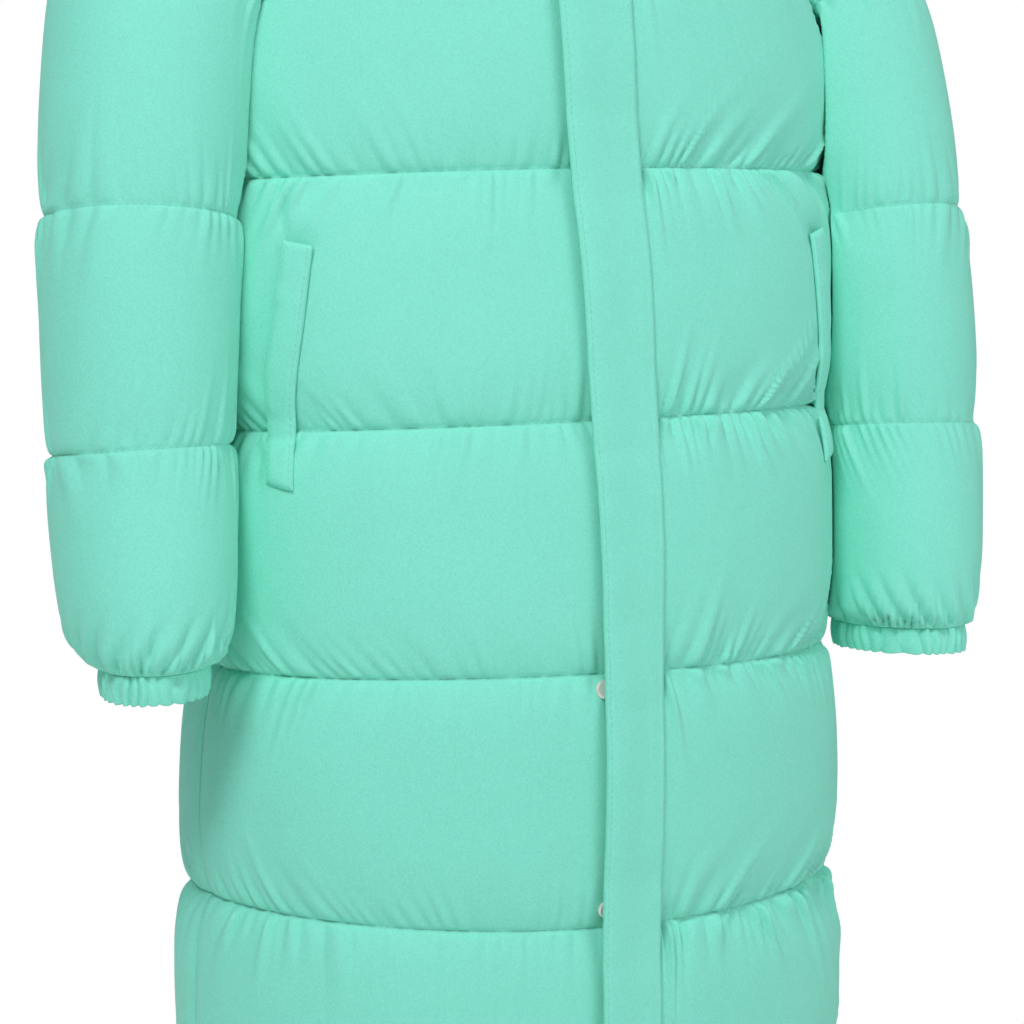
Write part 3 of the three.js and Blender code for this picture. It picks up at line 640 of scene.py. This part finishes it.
def thread_material():
    # Polyester sewing thread, dyed to match: a little darker than the shell, as its plies shade themselves
    material, tree = new_material("polyester_thread")
    place = add_node(tree, "ShaderNodeTexCoord").outputs["Object"]
    ply = add_node(tree, "ShaderNodeTexNoise", None, {"Vector": place, "Scale": 2200.0, "Detail": 1.0})
    bump = add_node(
        tree, "ShaderNodeBump", None, {"Height": ply.outputs["Fac"], "Strength": 0.3, "Distance": 0.0001}
    )
    shader = add_node(
        tree,
        "ShaderNodeBsdfPrincipled",
        None,
        {"Base Color": linear(THREAD_COLOUR), "Roughness": 0.6, "Normal": bump.outputs["Normal"]},
    )
    add_node(tree, "ShaderNodeOutputMaterial", None, {"Surface": shader.outputs["BSDF"]})
    return material


def snap_material():
    # Nickel-plated brass, pressed and tumbled: a warm silver with a soft, slightly uneven shine
    material, tree = new_material("tumbled_nickel")
    place = add_node(tree, "ShaderNodeTexCoord").outputs["Object"]
    wear = add_node(tree, "ShaderNodeTexNoise", None, {"Vector": place, "Scale": 420.0, "Detail": 3.0})
    rough = add_node(
        tree,
        "ShaderNodeMapRange",
        None,
        {"Value": wear.outputs["Fac"], "To Min": 0.28, "To Max": 0.42},
    )
    shader = add_node(
        tree,
        "ShaderNodeBsdfPrincipled",
        None,
        {"Base Color": linear(NICKEL_COLOUR), "Metallic": 0.45, "Roughness": rough.outputs["Result"]},
    )
    add_node(tree, "ShaderNodeOutputMaterial", None, {"Surface": shader.outputs["BSDF"]})
    return material


def floor_material():
    # Matt white studio paper, which the camera sees fade to plain white in the distance
    material, tree = new_material("studio_paper")
    place = add_node(tree, "ShaderNodeTexCoord").outputs["Object"]
    fibre = add_node(tree, "ShaderNodeTexNoise", None, {"Vector": place, "Scale": 60.0})
    bump = add_node(
        tree, "ShaderNodeBump", None, {"Height": fibre.outputs["Fac"], "Strength": 0.05, "Distance": 0.0005}
    )
    paper = add_node(
        tree,
        "ShaderNodeBsdfPrincipled",
        None,
        {"Base Color": linear(PAPER_COLOUR), "Roughness": 0.9, "Normal": bump.outputs["Normal"]},
    )
    distance = add_node(tree, "ShaderNodeVectorMath", {"operation": "LENGTH"}, {0: place})
    far = add_node(
        tree,
        "ShaderNodeMapRange",
        {"interpolation_type": "SMOOTHSTEP"},
        {"Value": distance.outputs["Value"], "From Min": 0.7, "From Max": 1.9},
    )
    path = add_node(tree, "ShaderNodeLightPath")
    seen = add_node(
        tree,
        "ShaderNodeMath",
        {"operation": "MULTIPLY"},
        {0: far.outputs["Result"], 1: path.outputs["Is Camera Ray"]},
    )
    glow = add_node(tree, "ShaderNodeEmission", None, {"Color": (1, 1, 1, 1), "Strength": 1.0})
    mixed = add_node(
        tree,
        "ShaderNodeMixShader",
        None,
        {0: seen.outputs["Value"], 1: paper.outputs["BSDF"], 2: glow.outputs["Emission"]},
    )
    add_node(tree, "ShaderNodeOutputMaterial", None, {"Surface": mixed.outputs["Shader"]})
    return material


shell = padded_shell_material()
thread = thread_material()
nickel = snap_material()

# The body and the collar

body_turns = np.concatenate([channel_rows(0, 1, 44), channel_rows(1, BODY_SEAMS, 38)[1:]])
collar_turns = channel_rows(-1, 0, 24, 0.08)
SEAM_BACK = 0.06  # degrees that a panel stops short of a seam
COLLAR_BACK = 0.15  # and that the collar stops short of the centre front
FRONT_COLUMNS = 235
BACK_COLUMNS = 320
COLLAR_COLUMNS = 220

front_right = body_panel(
    "quilted_front_right",
    -180 - SIDE_SEAM_ANGLE + SEAM_BACK,
    CENTRE_FRONT_ANGLE - SEAM_BACK,
    FRONT_COLUMNS,
    body_turns,
    shell,
)
front_left = body_panel(
    "quilted_front_left",
    CENTRE_FRONT_ANGLE + SEAM_BACK,
    SIDE_SEAM_ANGLE - SEAM_BACK,
    FRONT_COLUMNS,
    body_turns,
    shell,
)
back = body_panel(
    "quilted_back",
    SIDE_SEAM_ANGLE + SEAM_BACK,
    180 - SIDE_SEAM_ANGLE - SEAM_BACK,
    BACK_COLUMNS,
    body_turns,
    shell,
)
collar = body_panel(
    "padded_collar",
    CENTRE_FRONT_ANGLE + COLLAR_BACK,
    CENTRE_FRONT_ANGLE + 360 - COLLAR_BACK,
    COLLAR_COLUMNS,
    collar_turns,
    shell,
)

# The sleeves, trimmed to the body, and the armholes that they leave in it

sleeve_right = sleeve("quilted_sleeve_right", RIGHT_SLEEVE, True, 31.0, shell)
sleeve_left = sleeve("quilted_sleeve_left", LEFT_SLEEVE, False, 77.0, shell)
body_form = filled_body()
hollow_right, hollow_left = sleeve_hollow(RIGHT_SLEEVE, True), sleeve_hollow(LEFT_SLEEVE, False)
for piece, cutter in (
    (sleeve_right, body_form),
    (sleeve_left, body_form),
    (front_right, hollow_right),
    (front_left, hollow_left),
    (back, hollow_right),
    (back, hollow_left),
):
    cut(piece, cutter)
for cutter in (body_form, hollow_right, hollow_left):
    bpy.data.objects.remove(cutter)


CUFF_HEIGHT = 18.0
CUFF_WALL = 2.0
CUFF_PLEATS = 33
CUFF_DRIFT = 0.1  # of its height, by which the foot of a cuff lies further forward


def cuff(name, table, mirror, seed, material):
    """A strip of cloth gathered over elastic into small upright pleats, at the end of the sleeve."""
    rows, columns = 22, 560
    end = {key: values[-1] for key, values in table.items()}
    drop, angle = np.meshgrid(np.linspace(0, 1, rows + 1), 360 * np.arange(columns) / columns, indexing="ij")
    around = np.sin(np.radians(angle * 2) + seed) + 0.6 * np.sin(np.radians(angle * 5) + 2 * seed)
    phase = angle / 360 * CUFF_PLEATS + 0.55 * around + 0.12 * np.sin(5 * drop + angle / 9)
    own = np.floor(phase) % CUFF_PLEATS
    size = 2.3 + 1.3 * soft_noise(own * 1.37 + seed, 0.5, 9.0)
    ridge = np.abs(np.sin(np.pi * phase)) ** 0.8
    swell = 1.4 * np.sin(np.pi * np.clip(drop * 0.9 + 0.08, 0, 1))
    fold = size * ridge + swell - 2.4
    ragged = 1.1 * ridge * drop

    def ring(inset):
        x = (end["across"] - inset + fold) * np.cos(np.radians(angle))
        y = (end["along"] - inset + fold) * np.sin(np.radians(angle))
        twist = np.radians(end["twist"])
        return np.stack(
            [
                end["x"] + x * np.cos(twist) - y * np.sin(twist),
                end["y"] - CUFF_DRIFT * CUFF_HEIGHT * drop + x * np.sin(twist) + y * np.cos(twist),
                end["z"] - 0.2 - (CUFF_HEIGHT - 1) * drop - ragged,
            ],
            -1,
        )

    outer, inner = ring(0), ring(CUFF_WALL)
    if mirror:
        outer, inner = mirrored(outer), mirrored(inner)
    return padded_wall(name, outer, inner, 1, True, material)


cuff_right = cuff("gathered_cuff_right", RIGHT_SLEEVE, True, 0.7, shell)
cuff_left = cuff("gathered_cuff_left", LEFT_SLEEVE, False, 2.1, shell)


def bridged_puff(turn, angle, share):
    """The quilting's fullness under a piece that lies over it and bridges the seams."""
    full = np.where(turn < 0, COLLAR_PUFF, BODY_PUFF)
    return np.maximum(body_puff(turn, angle), full * share * smoothstep(-0.05, 0.3, np.abs(turn)))


def strip(name, top, bottom, material):
    """A flat piece of cloth between two grids of points that share their edges' layout."""
    rows, columns = top.shape[:2]
    count = rows * columns
    points = np.concatenate([top.reshape(-1, 3), bottom.reshape(-1, 3)])
    faces = grid_faces(0, rows, columns, False, False) + grid_faces(count, rows, columns, False, True)
    ids = np.arange(count).reshape(rows, columns)
    loop = list(ids[0, :-1]) + list(ids[:-1, -1]) + list(ids[-1, :0:-1]) + list(ids[:0:-1, 0])
    for a, b in zip(loop, loop[1:] + loop[:1]):
        faces.append([a, b, b + count, a + count])
    return mesh_object(name, points, faces, material)


FLAP_WIDTH = 45
FLAP_THICKNESS = 3.2
FLAP_LIFT = 5.4  # of the free edge, over the snaps
FLAP_SEAT = 1.4  # of the sewn edge, on the left front
FLAP_STITCH = 0.06  # where the topstitching runs across the flap
FREE_EDGE_ROUNDING = 0.7
SEWN_EDGE_ROUNDING = 2.6
RIDGE_PLACE = 2.2  # of the turned-in seam allowance, from the sewn edge
RIDGE_WIDTH = 1.3
RIDGE_HEIGHT = 0.3
FLAP_SHARES = np.array(
    [0, 0.012, 0.03, 0.045, 0.06, 0.075, 0.1, 0.13, 0.2, 0.3, 0.4, 0.5, 0.6, 0.7, 0.78, 0.84, 0.88, 0.91]
    + [0.93, 0.945, 0.96, 0.975, 0.99, 1.0]
)


def flap_grid(turn, share, layer):
    """Points of the flap from its free edge (share 0) to its sewn edge (1), under it (layer 0) or on it (1)."""
    row = row_at(FLAP, turn, smooth=False)
    across = row["free"] + (row["attached"] - row["free"]) * share
    angle = -np.degrees(np.arccos(across / body_section(turn)["half"]))
    seat = FLAP_LIFT + (FLAP_SEAT - FLAP_LIFT) * smoothstep(0.1, 0.75, share)
    edge = np.minimum(share, 1 - share) * FLAP_WIDTH
    round_off = 1 - np.exp(-edge / np.where(share > 0.5, SEWN_EDGE_ROUNDING, FREE_EDGE_ROUNDING))
    thickness = FLAP_THICKNESS * (0.45 + 0.55 * round_off)
    out = bridged_puff(turn, angle, 0.8) + seat + layer * thickness
    if layer:
        height = turn * CHANNEL_HEIGHT
        waves = 0.5 * soft_noise(height / 60, share * 1.5, 21.0)
        ripples = 0.25 * soft_noise(height / 17, share * 2, 23.0)
        out = out + waves + ripples
        to_stitch = (share - FLAP_STITCH) * FLAP_WIDTH
        stitch_line = np.exp(-((to_stitch / 1.0) ** 2))
        puckers = 0.3 * soft_noise(height / 9, share * 3, 27.0) * np.exp(-((to_stitch / 5) ** 2))
        wander = 0.4 * soft_noise(height / 70, 3.0, 25.0)
        ridge = np.exp(-((((1 - share) * FLAP_WIDTH - RIDGE_PLACE - wander) / RIDGE_WIDTH) ** 4))
        valley = np.exp(-((((1 - share) * FLAP_WIDTH - 5.0 - wander) / 1.1) ** 2))
        out = out - 0.55 * stitch_line + puckers + RIDGE_HEIGHT * ridge - 0.2 * valley
    return body_base(turn, angle) + body_normal(turn, angle) * out[..., None]


def flap(name, material):
    turns = np.linspace(-1, BODY_SEAMS - 6 / CHANNEL_HEIGHT, 420)
    turn, share = np.meshgrid(turns, FLAP_SHARES, indexing="ij")
    return strip(name, flap_grid(turn, share, 1), flap_grid(turn, share, 0), material)


placket = flap("placket_flap_cloth", shell)

WELT_WIDTH = 22
WELT_THICKNESS = 4.0
WELT_SEAT = 0.8
WELT_ROUNDING = 1.4
WELT_STITCHES = (0.12, 0.88)  # where the two lines of topstitching run across a welt


def welt_grid(is_right, turn, share, layer):
    """Points of a welt across its width, under it (layer 0) or on it (1)."""
    row = row_at(WELT, turn)
    inward = share if is_right else 1 - share
    right_angle = row["outer"] + (row["inner"] - row["outer"]) * inward
    angle = right_angle if is_right else -180 - right_angle
    slanted = turn + 0.03 * inward
    edge = np.minimum(share, 1 - share) * WELT_WIDTH
    ends = np.minimum(turn - WELT["turn"][0], WELT["turn"][-1] - turn) * CHANNEL_HEIGHT
    round_off = (1 - np.exp(-edge / WELT_ROUNDING)) * (1 - np.exp(-ends / WELT_ROUNDING))
    out = bridged_puff(slanted, angle, 0.5) + WELT_SEAT + layer * WELT_THICKNESS * (0.35 + 0.65 * round_off)
    if layer:
        height = turn * CHANNEL_HEIGHT
        stitch = np.exp(-((edge - 2.6) / 0.8) ** 2)
        out = out - 0.5 * stitch + 0.35 * soft_noise(height / 12, share * 2, 33.0)
    return body_base(slanted, angle) + body_normal(slanted, angle) * out[..., None]


def welt(name, is_right, material):
    turns = np.linspace(WELT["turn"][0], WELT["turn"][-1], 90)
    shares = np.array([0, 0.03, 0.07, 0.12, 0.18, 0.3, 0.5, 0.7, 0.82, 0.88, 0.93, 0.97, 1.0])
    turn, share = np.meshgrid(turns, shares, indexing="ij")
    return strip(name, welt_grid(is_right, turn, share, 1), welt_grid(is_right, turn, share, 0), material)


welt_right = welt("pocket_welt_right", True, shell)
welt_left = welt("pocket_welt_left", False, shell)

# Sewing: one line of stitches for each channel seam, and the topstitching of the flap and the welts

STITCH_PITCH = 4.2
STITCH_LENGTH = 2.9
STITCH_WIDTH = 0.42
THREAD_LIFT = 0.15


def seam_lines():
    """The lines that the thread follows, each an array of points."""
    lines = []
    for seam in range(1, BODY_SEAMS):
        angle = CENTRE_FRONT_ANGLE + 1.5 * np.arange(241)
        turn = np.full_like(angle, float(seam))
        points = body_base(turn, angle)
        away = clear_of_armhole(points) > 3
        normal = body_normal(turn, angle)
        raised = points + normal * (THREAD_LIFT - seam_dip(angle))[..., None]
        for run in np.split(np.arange(len(angle)), np.where(np.diff(away.astype(int)) != 0)[0] + 1):
            if away[run[0]] and len(run) > 2:
                lines.append(raised[run])
    for table, mirror in ((LEFT_SLEEVE, False), (RIGHT_SLEEVE, True)):
        for seam in range(1, SLEEVE_SEAMS):
            angle = 4.0 * np.arange(91)
            turn = np.full_like(angle, float(seam))
            points = clear_of_body(sleeve_points(table, turn, angle, np.full_like(angle, THREAD_LIFT)), 0)
            lines.append(points * [-1, 1, 1] if mirror else points)
    turns = np.linspace(-0.97, BODY_SEAMS - 0.06, 300)
    lines.append(flap_grid(turns, np.full_like(turns, FLAP_STITCH), 1))
    for is_right in (False, True):
        for share in WELT_STITCHES:
            turns = np.linspace(WELT["turn"][0] + 0.02, WELT["turn"][-1] - 0.02, 40)
            lines.append(welt_grid(is_right, turns, np.full_like(turns, share), 1))
    return lines


def stitch_tree(material):
    """Small rounded stitches laid end to end along every line of the object's mesh."""
    tree = bpy.data.node_groups.new("stitches_along_lines", "GeometryNodeTree")
    face = tree.interface
    face.new_socket("Geometry", in_out="INPUT", socket_type="NodeSocketGeometry")
    for name in ("Pitch", "Length", "Width"):
        face.new_socket(name, in_out="INPUT", socket_type="NodeSocketFloat")
    face.new_socket("Geometry", in_out="OUTPUT", socket_type="NodeSocketGeometry")
    given = add_node(tree, "NodeGroupInput")
    curve = add_node(tree, "GeometryNodeMeshToCurve", None, {"Mesh": given.outputs["Geometry"]})
    spaced = add_node(
        tree,
        "GeometryNodeResampleCurve",
        {"mode": "LENGTH"},
        {"Curve": curve.outputs["Curve"], "Length": given.outputs["Pitch"]},
    )
    tangent = add_node(tree, "GeometryNodeInputTangent")
    turned = add_node(
        tree, "FunctionNodeAlignRotationToVector", {"axis": "X"}, {"Vector": tangent.outputs["Tangent"]}
    )
    size = add_node(
        tree,
        "ShaderNodeCombineXYZ",
        None,
        {"X": given.outputs["Length"], "Y": given.outputs["Width"], "Z": given.outputs["Width"]},
    )
    ball = add_node(tree, "GeometryNodeMeshUVSphere", None, {"Segments": 5, "Rings": 4, "Radius": 0.5})
    placed = add_node(
        tree,
        "GeometryNodeInstanceOnPoints",
        None,
        {
            "Points": spaced.outputs["Curve"],
            "Instance": ball.outputs["Mesh"],
            "Rotation": turned.outputs["Rotation"],
            "Scale": size.outputs["Vector"],
        },
    )
    real = add_node(tree, "GeometryNodeRealizeInstances", None, {"Geometry": placed.outputs["Instances"]})
    smooth = add_node(tree, "GeometryNodeSetShadeSmooth", None, {"Geometry": real.outputs["Geometry"]})
    dressed = add_node(
        tree, "GeometryNodeSetMaterial", None, {"Geometry": smooth.outputs["Geometry"], "Material": material}
    )
    result = add_node(tree, "NodeGroupOutput")
    tree.links.new(dressed.outputs["Geometry"], result.inputs["Geometry"])
    return tree


def stitches(name, lines, material):
    """The thread of every line, as one piece."""
    points = np.concatenate(lines) * MM
    edges, start = [], 0
    for line in lines:
        edges += [(start + k, start + k + 1) for k in range(len(line) - 1)]
        start += len(line)
    mesh = bpy.data.meshes.new(name)
    mesh.from_pydata(points.tolist(), edges, [])
    obj = bpy.data.objects.new(name, mesh)
    bpy.context.scene.collection.objects.link(obj)
    tree = stitch_tree(material)
    modifier = obj.modifiers.new("stitching", "NODES")
    modifier.node_group = tree
    sizes = {"Pitch": STITCH_PITCH, "Length": STITCH_LENGTH, "Width": STITCH_WIDTH}
    for socket in tree.interface.items_tree:
        if socket.in_out == "INPUT" and socket.name in sizes:
            modifier[socket.identifier] = sizes[socket.name] * MM
    depsgraph = bpy.context.evaluated_depsgraph_get()
    obj.data = bpy.data.meshes.new_from_object(obj.evaluated_get(depsgraph))
    obj.modifiers.clear()
    return obj


sewing = stitches("sewing_thread", seam_lines(), thread)

# What each piece stands for

for piece, node, fill in (
    (front_right, "front_right", 0.7),
    (front_left, "front_left", 0.7),
    (back, "back", 0.7),
    (sleeve_right, "sleeve_right", 0.7),
    (sleeve_left, "sleeve_left", 0.7),
    (collar, "collar", 0.6),
    (placket, "placket_flap", 0.2),
    (welt_right, "welt_right", 0.3),
    (welt_left, "welt_left", 0.3),
):
    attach(piece, "root")
    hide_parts(node)

for piece, node in ((cuff_right, "cuff_right"), (cuff_left, "cuff_left")):
    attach(piece, "root")
    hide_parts(node)

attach(sewing, "root")

for name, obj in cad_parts.items():
    if name.startswith("snap_"):
        for slot in obj.material_slots:
            slot.material = nickel

# The studio

FLOOR_Z = -1.42
FLOOR_HALF = 12.0
CAMERA_LENS = 90
CAMERA_AZIMUTH = math.radians(-25)
CAMERA_DISTANCE = 1.748
CAMERA_Z = -0.395
CAMERA_PITCH = math.radians(5.4)
CAMERA_SHIFT = -6 / 1024  # the coat's axis stands 6 pixels right of the middle of a 1024 pixel view


def add_floor():
    mesh = bpy.data.meshes.new("floor")
    corners = [(x * FLOOR_HALF, y * FLOOR_HALF, FLOOR_Z) for x, y in ((-1, -1), (1, -1), (1, 1), (-1, 1))]
    mesh.from_pydata(corners, [], [(0, 1, 2, 3)])
    floor = bpy.data.objects.new("floor", mesh)
    floor.data.materials.append(floor_material())
    bpy.context.scene.collection.objects.link(floor)


def add_light(name, place, target, size, power):
    data = bpy.data.lights.new(name, "AREA")
    data.shape = "DISK"
    data.size = size
    data.energy = power
    light = bpy.data.objects.new(name, data)
    light.location = place
    light.rotation_euler = (Vector(target) - Vector(place)).to_track_quat("-Z", "Y").to_euler()
    bpy.context.scene.collection.objects.link(light)


def add_world():
    """Soft light, stronger from above than from below. The camera sees plain white."""
    world = bpy.data.worlds.new("studio")
    world.use_nodes = True
    tree = world.node_tree
    tree.nodes.clear()
    path = add_node(tree, "ShaderNodeLightPath")
    ray = add_node(tree, "ShaderNodeTexCoord").outputs["Generated"]
    height = add_node(tree, "ShaderNodeSeparateXYZ", None, {"Vector": ray}).outputs["Z"]
    soft_light = add_node(
        tree,
        "ShaderNodeMapRange",
        None,
        {"Value": height, "From Min": -1.0, "To Min": 0.04, "To Max": 0.42},
    )
    strength = add_node(
        tree,
        "ShaderNodeMapRange",
        None,
        {"Value": path.outputs["Is Camera Ray"], "To Min": soft_light.outputs["Result"], "To Max": 1.0},
    )
    background = add_node(
        tree,
        "ShaderNodeBackground",
        None,
        {"Color": (1, 1, 1, 1), "Strength": strength.outputs["Result"]},
    )
    add_node(tree, "ShaderNodeOutputWorld", None, {"Surface": background.outputs["Background"]})
    bpy.context.scene.world = world


def add_camera():
    data = bpy.data.cameras.new("camera")
    data.lens = CAMERA_LENS
    data.sensor_width = 36
    data.clip_end = 100
    camera = bpy.data.objects.new("camera", data)
    camera.location = (
        math.sin(CAMERA_AZIMUTH) * CAMERA_DISTANCE,
        -math.cos(CAMERA_AZIMUTH) * CAMERA_DISTANCE,
        CAMERA_Z,
    )
    camera.rotation_euler = (math.pi / 2 - CAMERA_PITCH, 0, CAMERA_AZIMUTH)
    data.shift_x = CAMERA_SHIFT
    bpy.context.scene.collection.objects.link(camera)
    bpy.context.scene.camera = camera


add_floor()
add_light("key", (-1.75, -1.9, 2.25), (0, 0, -0.45), 1.1, 69)
add_light("fill", (1.7, -3.1, 1.2), (0, 0, -0.5), 2.4, 35)
add_light("back", (1.2, 3.0, 2.2), (0, 0, -0.5), 2.4, 42)
add_world()
add_camera()
bpy.context.scene.view_settings.view_transform = "Standard"
bpy.context.scene.view_settings.look = "None"
